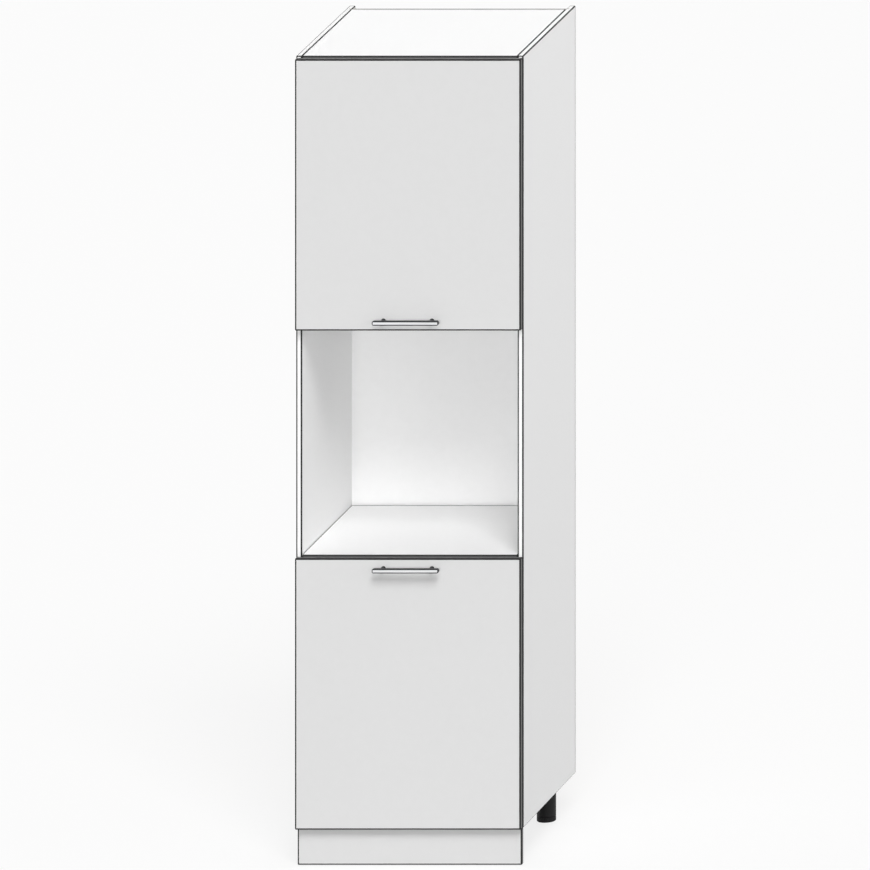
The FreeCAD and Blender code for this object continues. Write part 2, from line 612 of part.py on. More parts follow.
# Flat boards between the sides, then the back sheet in the grooves
for deck, deck_z in DECKS.items():
    board = box("board", "-" + INNER, FRONT, deck_z, "2 * " + INNER, DECK, "{panel_thick}")
    keep(cut(deck, board, deck_bores[deck]))
back_half = "(" + INNER + " + {groove_depth} - {back_play})"
keep(box("back_panel", "-" + back_half, FRONT + " + " + DECK, LOW, "2 * " + back_half, "{back_thick}",
         "{carcass_height}"))
for shelf, shelf_z in SHELVES.items():
    keep(box(shelf, "{shelf_end_play} - " + INNER, FRONT + " + {shelf_setback}", shelf_z,
             "2 * (" + INNER + " - {shelf_end_play})", DECK + " - {shelf_setback} - {shelf_rear_play}",
             "{panel_thick}"))

# Plinth board and the two clips that snap on the front legs
plinth_z = "{plinth_lift}"
clip_screws, plinth_tools = [], []
for side, x in (("left", "{leg_side} - " + HALF), ("right", HALF + " - {leg_side}")):
    y = FRONT + " + {leg_front}"
    plinth_back = FRONT + " + {plinth_thick}"
    ring = rod("ring", "z", x, y, "{clip_low}", "{leg_radius} + {clip_wall}", "{clip_tall}")
    bridge = box("bridge", x + " - {clip_width} / 2", plinth_back, "{clip_low}", "{clip_width}",
                 "{leg_front} - {plinth_thick}", "{clip_tall}")
    foot = box("clip_foot", x + " - {clip_width} / 2", plinth_back,
               "{clip_low} + {clip_tall} / 2 - {clip_foot_tall} / 2", "{clip_width}", "{clip_foot_thick}",
               "{clip_foot_tall}")
    hole = rod("leg_way", "z", x, y, "{clip_low}", "{leg_radius}", "{clip_tall}")
    mouth = box("mouth", x + " - 2 * {leg_radius}", y + " + {clip_open}", "{clip_low}", "4 * {leg_radius}",
                "2 * {leg_radius}", "{clip_tall}")
    clip_tools = [hole, mouth]
    for sign in (" - ", " + "):
        spot = "{clip_low} + {clip_tall} / 2" + sign + "{system_pitch} / 2"
        surface = plinth_back + " + {clip_foot_thick}"
        clip_screws.append(screw("clip_screw", "y", x, surface, spot))
        bore = [x, surface + " - {screw_bite}", spot, "{screw_radius}", "{screw_bite}"]
        clip_tools.append(rod("screw_bore", "y", *bore))
        plinth_tools.append(rod("screw_bore", "y", *bore))
    keep(cut(side + "_plinth_clip", joined("clip_blank", [ring, bridge, foot]), clip_tools))
plinth_wide = "2 * (" + HALF + " - {plinth_side})"
plinth_tall = LOW + " - {plinth_lift} - {plinth_top_gap}"
board = rounded_block("plinth_blank", [plinth_wide, "{plinth_thick}", plinth_tall],
                      [("{plinth_round}", "rim")])
place(board, "{plinth_side} - " + HALF, FRONT, plinth_z)
keep(cut("plinth", board, plinth_tools))

keep(group("shelf_pins", pegs))
keep(group("cam_locks", cams))
keep(group("cam_bolts", bolts))
keep(group("wood_dowels", dowels))
keep(group("hinge_plate_screws", plate_screws))
keep(group("plinth_clip_screws", clip_screws))

doc.recompute()
for item in doc.Objects:
    if "Invalid" in item.State or "Error" in item.State:
        raise RuntimeError("bad object: " + item.Label)
for item in nodes:
    if item.Shape.isNull() or not item.Shape.isValid():
        raise RuntimeError("bad shape: " + item.Label)
os.makedirs("parts", exist_ok=True)
for item in nodes:
    item.Shape.exportStep("parts/" + item.Label + ".step")
print("nodes", len(nodes))
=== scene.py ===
import json
import math

import bmesh
import bpy
import numpy as np
from mathutils import Matrix, Vector


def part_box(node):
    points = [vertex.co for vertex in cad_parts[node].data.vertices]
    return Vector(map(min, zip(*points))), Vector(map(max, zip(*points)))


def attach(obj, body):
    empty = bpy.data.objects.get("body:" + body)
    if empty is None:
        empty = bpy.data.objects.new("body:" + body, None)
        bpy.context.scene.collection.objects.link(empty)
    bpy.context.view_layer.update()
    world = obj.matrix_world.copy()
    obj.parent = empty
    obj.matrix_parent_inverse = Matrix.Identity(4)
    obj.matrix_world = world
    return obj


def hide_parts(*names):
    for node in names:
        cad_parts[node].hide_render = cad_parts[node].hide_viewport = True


bl_info = {
    "name": "Tall kitchen cabinet",
    "version": (1, 0, 0),
    "blender": (4, 5, 0),
    "location": "View3D > Sidebar > Cabinet",
    "description": "Dresses a tall kitchen cabinet with an oven niche",
    "category": "Object",
}

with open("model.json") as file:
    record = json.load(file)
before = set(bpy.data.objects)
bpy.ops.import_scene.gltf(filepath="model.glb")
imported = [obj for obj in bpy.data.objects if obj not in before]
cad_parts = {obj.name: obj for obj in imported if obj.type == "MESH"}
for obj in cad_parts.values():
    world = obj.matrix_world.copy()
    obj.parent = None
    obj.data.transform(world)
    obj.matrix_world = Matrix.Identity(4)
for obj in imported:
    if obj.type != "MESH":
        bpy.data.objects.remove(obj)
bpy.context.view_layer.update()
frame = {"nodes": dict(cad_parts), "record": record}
# A gap below this is taken as touching
NEAR = 0.001


def linear(code):
    """Linear colour of an sRGB hex value, by the sRGB transfer curve."""
    code = code.lstrip("#")
    out = []
    for start in (0, 2, 4):
        part = int(code[start:start + 2], 16) / 255
        out.append(part / 12.92 if part <= 0.04045 else ((part + 0.055) / 1.055) ** 2.4)
    return tuple(out)


def colour(label, text, code):
    """A colour that a user may change, with its default from a hex value."""
    return bpy.props.FloatVectorProperty(name=label, description=text, subtype="COLOR", size=3,
                                         min=0, max=1, default=linear(code))


def length(label, text, metres):
    """A length that a user may change, in metres."""
    return bpy.props.FloatProperty(name=label, description=text, unit="LENGTH", min=0,
                                   precision=5, default=metres)


class CabinetColours(bpy.types.PropertyGroup):
    """Finishes of the cabinet."""

    board: colour("Board", "White melamine of the carcass", "#F6F6F6")
    # The arris colour is painted shade: a dark line round each edge that stands in for the shadow line where
    # the edge turns
    arris: colour("Arris", "Scraped corner of an edge band", "#2A2A2A")
    # The back sheet colour is white lacquer with painted light added, lighter than the boards to make up for
    # the shade in the niche
    sheet: colour("Back sheet", "Lacquered face of the back sheet", "#F8F8F8")
    front: colour("Door face", "Light grey laminate of doors and plinth", "#D5D5D5")
    edge: colour("Edge band", "Dark grey edge band of doors, decks and plinth", "#5C5C5C")
    chip: colour("Chipboard", "Raw edges and bores of the boards", "#B99B74")
    fibre: colour("Hardboard", "Raw rear of the back sheet", "#A88A66")
    sawn: colour("Hardboard edge", "Sawn edges of the back sheet", "#4A3B2E")
    handle: colour("Handle flat", "Brushed flats of the handle bars", "#D6D7D8")
    # The rim colour is painted shade: the dark on the bars' rounded edges and on the posts stands in for
    # their shaded sides
    rim: colour("Handle edge", "Dark anodised edges and posts of the handles", "#2A2B2D")
    plastic: colour("Leg plastic", "Black moulded plastic", "#080809")
    nickel: colour("Nickel", "Nickel plate on the hinges", "#C4C1BA")
    zinc: colour("Zinc", "Zinc plate on the screws", "#B9BDC2")
    casting: colour("Casting", "Raw zinc of the cam locks", "#9A9C9F")
    beech: colour("Beech", "Fluted beech dowels", "#C9A36B")
    bumper: colour("Bumper", "Translucent door bumper", "#DDE1E2")
    floor: colour("Floor", "Pale floor under the cabinet", "#FAFAFA")


class CabinetSizes(bpy.types.PropertyGroup):
    """Small sizes that the looks add to the solids."""

    ease: length("Edge easing", "Radius of the eased edge bands", 0.0026)
    door_ease: length("Door easing", "Radius of the eased edges of the doors", 0.0030)
    # The rear band is the arris finish: painted shade lapped round the rear edges on to the faces
    lap: length("Rear lap", "How far the rear bands are lapped round on to the faces", 0.0060)
    wide: length("Picture width", "Width of the picture at the middle of the cabinet", 2.3016)
    lens: bpy.props.FloatProperty(name="Lens", description="Focal length of the camera in millimetres",
                                  min=50, max=1600, default=1500)


def colours():
    """The finishes as set in the scene."""
    return bpy.context.scene.cabinet_colours


def sizes():
    """The small sizes as set in the scene."""
    return bpy.context.scene.cabinet_sizes


def node(tree, kind, links=None, **values):
    """Add one node, set its sockets or settings by name, and link the sockets given."""
    item = tree.nodes.new(kind)
    for key, value in values.items():
        if key in item.inputs:
            item.inputs[key].default_value = value
        else:
            setattr(item, key, value)
    for key, source in (links or {}).items():
        tree.links.new(source, item.inputs[key])
    return item


def joined(*patches):
    """Join (points, faces) patches into one pair, with the face numbers moved on."""
    points, faces, start = [], [], 0
    for some_points, some_faces in patches:
        points.append(np.asarray(some_points, float).reshape(-1, 3))
        faces.extend([int(i) + start for i in face] for face in some_faces)
        start += len(points[-1])
    return np.concatenate(points), faces


def quads(rows, columns, closed=True):
    """Faces of a grid of rows by columns, row after row, joined round where closed."""
    last = columns if closed else columns - 1
    row, column = np.meshgrid(np.arange(rows - 1), np.arange(last), indexing="ij")
    nxt = (column + 1) % columns
    corners = [row * columns + column, row * columns + nxt,
               (row + 1) * columns + nxt, (row + 1) * columns + column]
    return np.stack([c.ravel() for c in corners], 1)


def lathe(profile, count=48, closed=False, limit=None):
    """Surface of revolution about Z: each (radius, height) of the profile is carried round
    a full turn. limit, when given, returns the largest radius for an array of angles."""
    profile = np.asarray(profile, float)
    turn = np.linspace(0, 2 * math.pi, count, endpoint=False)
    radius = np.repeat(profile[:, :1], count, 1)
    height = np.repeat(profile[:, 1:], count, 1)
    if limit:
        radius = np.minimum(radius, limit(turn))
    points = np.stack([radius * np.cos(turn), radius * np.sin(turn), height], 2)
    faces = quads(len(profile) + (1 if closed else 0), count)
    return points.reshape(-1, 3), faces % (len(profile) * count)


def scallops(turn, radius, count, size, depth):
    """Largest radius at an angle round a scalloped rim. Within a scallop it is the near wall of
    a circle of the given size whose centre lies beyond the rim: the centre's distance times
    the cosine, less the half chord. Between scallops it is the rim's own radius."""
    far = radius + size - depth
    angle = (turn + math.pi / count) % (2 * math.pi / count) - math.pi / count
    half_chord = np.sqrt(np.maximum(size ** 2 - (far * np.sin(angle)) ** 2, 0))
    return np.where(half_chord > 0, np.minimum(far * np.cos(angle) - half_chord, radius), radius)


def turned(points, axis, at):
    """Points about the Z axis turned to run along axis, then moved to a place."""
    points = np.asarray(points, float)
    ways = {"+z": (0, 1, 2), "+x": (2, 0, 1), "+y": (1, 2, 0)}
    if axis[0] == "-":
        points = points * (1, -1, -1)
    return points[:, ways["+" + axis[1]]] + np.asarray(at, float)


def placed(shape, axis, at):
    """A shape about the Z axis, turned to run along axis and moved to a place."""
    return turned(shape[0], axis, at), shape[1]


def block(low, high):
    """A plain closed block as points and faces."""
    x, y, z = np.array([low, high]).T
    grid = np.array(np.meshgrid(x, y, z, indexing="ij")).reshape(3, -1).T
    faces = [(0, 1, 3, 2), (4, 6, 7, 5), (0, 4, 5, 1), (2, 3, 7, 6), (0, 2, 6, 4), (1, 5, 7, 3)]
    return grid, faces


def eased_block(low, high, ease, steps=3, corner=None):
    """A block with every edge rounded. Loops of a rounded rectangle are stacked along the
    shortest side: the inset follows a quarter circle at each face and is nil between.
    corner is the radius of the loops' corners, the same as the easing if not given."""
    corner_radius = corner or ease
    low, high = np.asarray(low, float), np.asarray(high, float)
    half, middle = (high - low) / 2, (high + low) / 2
    thin = int(np.argmin(half))
    first, second = (thin + 1) % 3, (thin + 2) % 3
    arc = np.linspace(0, math.pi / 2, steps + 1)
    inset = np.concatenate([ease * (1 - np.sin(arc)), ease * (1 - np.cos(arc))])
    level = np.concatenate([-half[thin] + ease * (1 - np.cos(arc)), half[thin] - ease * (1 - np.sin(arc))])
    turn = (np.arange(4)[:, None] * math.pi / 2 + arc[None, :]).ravel()
    sign = np.array([(1, 1), (-1, 1), (-1, -1), (1, -1)]).repeat(steps + 1, 0)
    radius = (corner_radius - inset)[:, None]
    points = np.zeros((len(level), len(turn), 3))
    points[:, :, first] = sign[:, 0] * (half[first] - corner_radius) + radius * np.cos(turn)
    points[:, :, second] = sign[:, 1] * (half[second] - corner_radius) + radius * np.sin(turn)
    points[:, :, thin] = level[:, None]
    count = len(turn)
    faces = [list(f) for f in quads(len(level), count)]
    cap = np.arange(0, count, 1 if corner else steps + 1)
    faces.append([int(i) for i in cap[::-1]])
    faces.append([int(i) for i in cap + (len(level) - 1) * count])
    return points.reshape(-1, 3) + middle, faces


DIRECTIONS = {"-X": (-1, 0, 0), "+X": (1, 0, 0), "-Y": (0, -1, 0), "+Y": (0, 1, 0),
              "-Z": (0, 0, -1), "+Z": (0, 0, 1)}
# Cosine above which a face counts as square to a direction
SQUARE = 0.9999
# Angle in degrees from which an edge is shaded sharp
SHARP = 35


def face_normals(mesh):
    """Normals of all faces of a mesh, one row each."""
    normals = np.empty(len(mesh.polygons) * 3)
    mesh.polygons.foreach_get("normal", normals)
    return normals.reshape(-1, 3)


def smooth_round(mesh, sharp):
    """Shade the round faces smooth and keep those square to an axis flat, so that a wide
    board takes no false shade from its narrow rounded edges."""
    mesh.set_sharp_from_angle(angle=math.radians(sharp))
    square = np.abs(face_normals(mesh)).max(1) > SQUARE
    mesh.polygons.foreach_set("use_smooth", ~square)


def piece(name, patch, body, materials, replaces=(), sharp=SHARP, sides=None):
    """Make one object from points and faces, merge its seams, and ride it on a body.
    sides maps a direction such as +Y to the number of the material for flat faces there."""
    mesh = bpy.data.meshes.new(name)
    mesh.from_pydata(np.asarray(patch[0]).tolist(), [], [list(map(int, f)) for f in patch[1]])
    shape = bmesh.new()
    shape.from_mesh(mesh)
    bmesh.ops.remove_doubles(shape, verts=shape.verts, dist=1e-7)
    shape.to_mesh(mesh)
    shape.free()
    mesh.validate()
    for material in materials:
        mesh.materials.append(material)
    if sides:
        normals = face_normals(mesh)
        index = np.full(len(normals), sides.get("arris", 0))
        for way, vector in DIRECTIONS.items():
            if way in sides:
                index[normals @ np.array(vector) > SQUARE] = sides[way]
        mesh.polygons.foreach_set("material_index", index.astype(np.int32))
    smooth_round(mesh, sharp)
    item = bpy.data.objects.new(name, mesh)
    bpy.context.scene.collection.objects.link(item)
    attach(item, body)
    if replaces:
        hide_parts(*replaces)
    return item


def carve(item, patch, material):
    """Take a closed cutting shape out of a piece, and give the cut walls a material."""
    mesh = bpy.data.meshes.new("cutter")
    mesh.from_pydata(np.asarray(patch[0]).tolist(), [], [list(map(int, f)) for f in patch[1]])
    mesh.materials.append(material)
    cutter = bpy.data.objects.new("cutter", mesh)
    bpy.context.scene.collection.objects.link(cutter)
    change = item.modifiers.new("carve", "BOOLEAN")
    change.operation = "DIFFERENCE"
    change.solver = "EXACT"
    change.material_mode = "TRANSFER"
    change.object = cutter
    bpy.context.view_layer.update()
    solid = bpy.data.meshes.new_from_object(item.evaluated_get(bpy.context.evaluated_depsgraph_get()))
    old = item.data
    item.modifiers.clear()
    item.data = solid
    solid.name = old.name
    bpy.data.meshes.remove(old)
    bpy.data.objects.remove(cutter)
    bpy.data.meshes.remove(mesh)
    smooth_round(solid, SHARP)


def drill(axis, at, radius, depth, count=24):
    """A closed round cutter that starts at a point and runs along an axis."""
    wall = lathe([(radius, 0), (radius, depth)], count)
    points = np.concatenate([wall[0], [[0, 0, 0]], [[0, 0, depth]]])
    around = np.arange(count)
    nxt = (around + 1) % count
    faces = wall[1].tolist()
    faces += [[2 * count, int(b), int(a)] for a, b in zip(around, nxt)]
    faces += [[2 * count + 1, int(a) + count, int(b) + count] for a, b in zip(around, nxt)]
    return turned(points, axis, at), faces


def ranged(tree, noise, low, high):
    """Map the middle of a noise texture's range to the range from low to high."""
    item = node(tree, "ShaderNodeMapRange", {"Value": noise.outputs["Fac"]})
    for key, value in (("From Min", 0.3), ("From Max", 0.7), ("To Min", low), ("To Max", high)):
        item.inputs[key].default_value = value
    return item.outputs["Result"]


def finish_of(name, base, rough, metal=0.0, spot=None, bump=None, stretch=(1, 1, 1),
              rough_spread=0.06, glint=0.5):
    """One finish: a base colour broken up by noise of a given size, roughness that varies
    with it, and a bump of its own size. Sizes are in metres of the real surface."""
    material = bpy.data.materials.new(name)
    material.use_nodes = True
    tree = material.node_tree
    tree.nodes.clear()
    place = node(tree, "ShaderNodeTexCoord")
    scaled = node(tree, "ShaderNodeMapping", {"Vector": place.outputs["Object"]}, Scale=stretch)
    shader = node(tree, "ShaderNodeBsdfPrincipled", Metallic=metal, Roughness=rough)
    shader.inputs["Base Color"].default_value = (*base, 1)
    shader.inputs["Specular IOR Level"].default_value = glint
    if spot:
        size, strength = spot
        mottle = node(tree, "ShaderNodeTexNoise", {"Vector": scaled.outputs["Vector"]},
                      Scale=1 / size, Detail=4.0, Roughness=0.6)
        tone = ranged(tree, mottle, 1 - strength, 1 + strength * 0.4)
        mixed = node(tree, "ShaderNodeVectorMath", {"Scale": tone}, operation="SCALE")
        mixed.inputs[0].default_value = base
        tree.links.new(mixed.outputs["Vector"], shader.inputs["Base Color"])
        gloss = ranged(tree, mottle, rough - rough_spread, rough + rough_spread)
        tree.links.new(gloss, shader.inputs["Roughness"])
    if bump:
        size, height = bump
        grain = node(tree, "ShaderNodeTexNoise", {"Vector": scaled.outputs["Vector"]},
                     Scale=1 / size, Detail=2.0)
        relief = node(tree, "ShaderNodeBump", {"Height": grain.outputs["Fac"]}, Strength=0.6, Distance=height)
        tree.links.new(relief.outputs["Normal"], shader.inputs["Normal"])
    node(tree, "ShaderNodeOutputMaterial", {"Surface": shader.outputs["BSDF"]})
    return material


FINISH = {}


def make_finishes():
    """All finishes of the cabinet, named for the material and how its surface was made."""
    c = colours()
    # Melamine paper pressed on chipboard: matt white with a fine pearl emboss, about a
    # millimetre from pit to pit, and hardly any highlight
    FINISH["board"] = finish_of("melamine_pressed", c.board, 0.48, spot=(0.012, 0.012),
                                bump=(0.0011, 0.00004), glint=0.15)
    # ABS band at the corner, darkened as painted shade: a dull dark hairline round every board, standing in
    # for the shadow line at each edge
    FINISH["arris"] = finish_of("abs_band_edge_painted_shade", c.arris, 0.6, spot=(0.004, 0.06), glint=0.1)
    # Laminate pressed on the doors: even light grey with a silky sheen
    FINISH["front"] = finish_of("laminate_silk_pressed", c.front, 0.38, spot=(0.02, 0.01),
                                bump=(0.0009, 0.00003))
    # Extruded ABS band: flat dark grey, a little glossier than the face it edges
    FINISH["edge"] = finish_of("abs_door_band_extruded", c.edge, 0.45, spot=(0.005, 0.05),
                               bump=(0.0016, 0.00003), glint=0.2)
    # Sawn chipboard: rough, with pale flakes of a few millimetres among dark glue
    FINISH["chip"] = finish_of("chipboard_sawn", c.chip, 0.85, spot=(0.0025, 0.35), bump=(0.002, 0.0004))
    # Hardboard lacquered white on its face: smooth, and set a little lighter than the boards as painted light
    # against the shade in the niche
    FINISH["sheet"] = finish_of("hardboard_lacquered_and_painted_light", c.sheet, 0.45, spot=(0.02, 0.012),
                                bump=(0.003, 0.00006), glint=0.2)
    # Hardboard felted from brown fibre: dead matt and mottled, pitted by the wire screen
    FINISH["fibre"] = finish_of("hardboard_felted", c.fibre, 0.9, spot=(0.004, 0.25), bump=(0.0016, 0.0003))
    # The saw packs the fibre at the edges of the sheet: darker brown and a little burnished
    FINISH["sawn"] = finish_of("hardboard_sawn", c.sawn, 0.8, spot=(0.003, 0.2), bump=(0.0012, 0.0002))
    # Anodised aluminium brushed along the bar: long faint streaks, drawn wider than real
    # ones so that they show
    FINISH["handle"] = finish_of("aluminium_brushed_anodised", c.handle, 0.34, 1.0, spot=(0.004, 0.08),
                                 stretch=(0.04, 1, 1), rough_spread=0.08)
    # Aluminium painted near black on the rounded edges and the posts as their shade: soft dark sheen
    FINISH["rim"] = finish_of("aluminium_rim_painted_shade", c.rim, 0.38, 1.0, spot=(0.003, 0.10))
    # Black polypropylene from a spark-eroded mould: fine pits that scatter the light
    FINISH["plastic"] = finish_of("polypropylene_moulded", c.plastic, 0.5, spot=(0.006, 0.12),
                                  bump=(0.0009, 0.00008), glint=0.2)
    # Pressed steel under nickel: warm bright metal, clouded by the press and by handling
    FINISH["nickel"] = finish_of("steel_nickel_plated", c.nickel, 0.27, 1.0, spot=(0.006, 0.03),
                                 rough_spread=0.03)
    # Screw steel under blue zinc: cooler and duller than the nickel beside it
    FINISH["zinc"] = finish_of("steel_zinc_plated", c.zinc, 0.32, 1.0, spot=(0.002, 0.1))
    # Die-cast zinc left raw: grey and grainy
    FINISH["casting"] = finish_of("zinc_die_cast", c.casting, 0.45, 1.0, spot=(0.002, 0.12),
                                  bump=(0.001, 0.0001))
    # Turned beech: straight fine grain along the dowel
    FINISH["beech"] = finish_of("beech_turned", c.beech, 0.6, spot=(0.002, 0.15), stretch=(0.1, 1, 1))
    # Cast silicone: milky and soft, with a wide dull highlight
    FINISH["bumper"] = finish_of("silicone_cast", c.bumper, 0.35, spot=(0.002, 0.05))


def box_of(name):
    """Low and high corner of a CAD node as arrays."""
    low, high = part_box(name)
    return np.array(low), np.array(high)


def solids_of(name):
    """Low and high corners of the separate solids in one CAD node. Corners that fall together
    share a number, and each triangle hands its lowest number on until nothing changes."""
    mesh = frame["nodes"][name].data
    mesh.calc_loop_triangles()
    points = np.empty(len(mesh.vertices) * 3)
    mesh.vertices.foreach_get("co", points)
    points = points.reshape(-1, 3)
    corners = np.empty(len(mesh.loop_triangles) * 3, np.int32)
    mesh.loop_triangles.foreach_get("vertices", corners)
    _, merged = np.unique(np.round(points * 1e6).astype(np.int64), axis=0, return_inverse=True)
    triangles = merged.ravel()[corners].reshape(-1, 3)
    mark = np.arange(merged.max() + 1)
    while True:
        lowest = mark[triangles].min(1)
        fresh = mark.copy()
        np.minimum.at(fresh, triangles.ravel(), np.repeat(lowest, 3))
        if (fresh == mark).all():
            break
        mark = fresh
    owner = mark[merged.ravel()]
    return [(points[owner == m].min(0), points[owner == m].max(0)) for m in np.unique(owner)]


def along(box, axis):
    """Where a turned piece starts and how long and wide it is: its box seen along an axis."""
    low, high = box
    index = "xyz".index(axis[1])
    across = [i for i in range(3) if i != index]
    start = (low + high) / 2
    start[index] = low[index] if axis[0] == "+" else high[index]
    return start, high[index] - low[index], max(high[across] - low[across]) / 2


def polar_face(radius, height, count=64, rings=18):
    """A round face as rings of points: height gives the level for arrays of x and y."""
    ring = np.linspace(0, 1, rings)[:, None] * radius
    turn = np.linspace(0, 2 * math.pi, count, endpoint=False)[None, :]
    x, y = ring * np.cos(turn), ring * np.sin(turn)
    points = np.stack([x, y, height(x, y)], 2).reshape(-1, 3)
    return points, quads(rings, count)


def cross_recess(x, y, reach, width, depth):
    """Depth of a cross-shaped driver recess: two crossed slots with sloping walls."""
    slot = np.minimum(np.abs(x), np.abs(y))
    run = np.maximum(np.abs(x), np.abs(y))
    wall = np.clip((width - slot) / (width * 0.4), 0, 1) * np.clip((reach - run) / (reach * 0.3), 0, 1)
    return depth * wall


def threaded(start, stop, pitch, crest, depth, tip=0.0, count=20):
    """A closed threaded shank along Z. The radius falls by depth from the crest on a helix: a wave
    in the angle over a full turn, less the height over the pitch. tip is the length that tapers."""
    steps = max(int((stop - start) / pitch * 8), 8)
    level = np.linspace(start, stop, steps)[:, None]
    turn = np.linspace(0, 2 * math.pi, count, endpoint=False)[None, :]
    wave = np.abs(((turn / (2 * math.pi) - level / pitch) % 1) - 0.5) * 2
    taper = np.clip((stop - level) / tip, 0.12, 1) if tip else 1.0
    around = (crest - depth * (1 - wave ** 2)) * taper
    points = np.stack([around * np.cos(turn), around * np.sin(turn), level + 0 * turn], 2)
    first = np.arange(count)[::-1]
    last = np.arange((steps - 1) * count, steps * count)
    return points.reshape(-1, 3), [first, *quads(steps, count), last]


def driven_screw(box, axis, head, shank, pitch):
    """A screw that runs in along an axis: a domed head with a cross recess, then a threaded shank.
    The dome's level grows with the square of the distance from the middle. The small sizes are
    shares of the head's height and radius and of the shank's radius."""
    start, long, radius = along(box, axis)
    crown, rim = head * 0.35, head * 0.6
    dome = polar_face(radius, lambda x, y: crown * ((x * x + y * y) / radius ** 2)
                      + cross_recess(x, y, radius * 0.6, radius * 0.16, head * 0.55))
    skirt = lathe([(radius, crown), (radius, rim), (shank * 1.05, head), (0.0, head)], 64)
    thread = threaded(head, long, pitch, shank, shank * 0.28, shank * 2.5)
    return placed(joined(dome, skirt, thread), axis, start)


# Numbers of the materials on a board: its faces, corners dark with painted shade, edge band and raw edges
FACE, ARRIS, BAND, RAW = range(4)
# Small sizes in metres, beginning with the hairline of painted shade that the dark corner carries on to the
# face beside it, and on to the top edge of a side board
HAIRLINE = 0.0012
TOP_HAIRLINE = 0.0008
# Grooves of the back sheet, the holes for shelf pegs, and how far a peg's middle is below a shelf
GROOVE_DEEP = 0.008
GROOVE_WIDE = 0.004
OVERRUN = 0.010
HOLE_INSET = 0.060
HOLE_PITCH = 0.032
HOLE_RADIUS = 0.0025
PEG_DROP = 0.0035
# Pockets of the cam locks, and their places from the side, front and rear edges of a deck
CAM_RADIUS = 0.0075
CAM_DEEP = 0.0125
CAM_SIDE = 0.024
CAM_FRONT = 0.110
CAM_REAR = 0.130
# Pockets of the hinge cups, and the easing of the thin back sheet
CUP_RADIUS = 0.0175
CUP_DEEP = 0.0125
SHEET_EASE = 0.0003
# Handle bars: easing of the edges, its steps, and the radius of the corners seen from the front
BAR_EASE = 0.0016
BAR_STEPS = 6
BAR_CORNER = 0.0048
# Handle posts: how far they run into the bar, and the flare at the door as pairs of added
# radius and distance from the door
POST_SINK = 0.0005
POST_FLARE = ((0.0, 0.0035), (0.0002, 0.0022), (0.0008, 0.0014), (0.0012, 0.0010), (0.0012, 0.0002),
              (0.0010, 0.0))
# Screws: height of the head, radius of the shank and pitch of the thread
WOOD_SCREW = (0.0014, 0.0017, 0.0018)
PLATE_SCREW = (0.0014, 0.0017, 0.0022)
HANDLE_SCREW = (0.0020, 0.0020, 0.0010)
ADJUSTER = (0.0012, 0.0024, 0.0008)
# Adjusters: their places from the rear end of an arm, the radius of the head and the depth below it
ADJUSTER_PLACES = (0.042, 0.012)
ADJUSTER_RADIUS = 0.0035
ADJUSTER_DEEP = 0.0044
# Cam locks: bevel and lift of the face, bevel of the far end, depth of the cross, size and depth
# of the pointer
CAM_BEVEL = 0.0004
CAM_LIFT = 0.0002
CAM_HEEL = 0.0005
CAM_CROSS = 0.0028
POINTER_SIZE = 0.0016
POINTER_DEEP = 0.0005
# Shelf pegs: radius of the pin as a share of the head's
PEG_PIN = 0.714
# Dowels: length of the bevelled ends and their radius as a share of the dowel's, then how many
# flutes run round, and half their depth as a share of the radius
DOWEL_BEVEL = 0.0018
DOWEL_TIP = 0.55
FLUTES = 24
FLUTE_SHARE = 0.03
# Legs: wall and bevel of the tube, depth of its groove and the groove's levels below the top
TUBE_WALL = 0.004
TUBE_BEVEL = 0.001
TUBE_GROOVE = 0.0005
GROOVE_LEVELS = (0.0100, 0.0095, 0.0075, 0.0070)
# Feet: height of the disc, and its lower and upper edges as pairs of inset and distance from the
# face; radius of the stem, how far it starts in the disc, pitch and depth of its thread; scallops
DISC_TALL = 0.014
DISC_UNDER = ((0.002, 0.0), (0.0007, 0.0012), (0.0, 0.002))
DISC_OVER = ((0.0, 0.001), (0.0007, 0.0003), (0.001, 0.0))
STEM_RADIUS = 0.009
STEM_SINK = 0.001
STEM_PITCH = 0.004
STEM_THREAD = 0.0012
SCALLOPS = 24
SCALLOP_RADIUS = 0.0016
SCALLOP_DEEP = 0.0007

CARCASS = "carcass"
SIDES = ("left", "right")
DECKS = ("bottom_panel", "niche_floor", "niche_ceiling", "top_panel")
SHELVES = ("lower_shelf", "upper_shelf_low", "upper_shelf_high")
DOORS = ("upper", "lower")


def carcass_finish(raw, dark=()):
    """Materials of a carcass board, and which side has which; raw lists the sawn sides and
    dark those with a dark band."""
    materials = [FINISH["board"], FINISH["arris"], FINISH["edge"], FINISH["chip"]]
    sides = {"arris": ARRIS}
    for way in DIRECTIONS:
        sides[way] = RAW if way in raw else BAND if way in dark else FACE
    return materials, sides


def lap(item, way, reach, facing=None):
    """Carry a piece's dark arris, a band of painted shade, on to its faces at one end. The faces are
    split along a plane at a distance from that end, and those beyond it take the arris finish.
    facing, when given, keeps this to flat faces that look one way."""
    vector = np.array(DIRECTIONS[way], float)
    plane = max(vector @ np.array(corner.co) for corner in item.data.vertices) - reach
    shape = bmesh.new()
    shape.from_mesh(item.data)
    bmesh.ops.bisect_plane(shape, geom=[*shape.verts, *shape.edges, *shape.faces],
                           plane_co=vector * plane, plane_no=vector)
    for face in shape.faces:
        beyond = vector @ np.array(face.calc_center_median()) > plane
        if beyond and (not facing or np.dot(face.normal, DIRECTIONS[facing]) > SQUARE):
            face.material_index = ARRIS
    shape.to_mesh(item.data)
    shape.free()


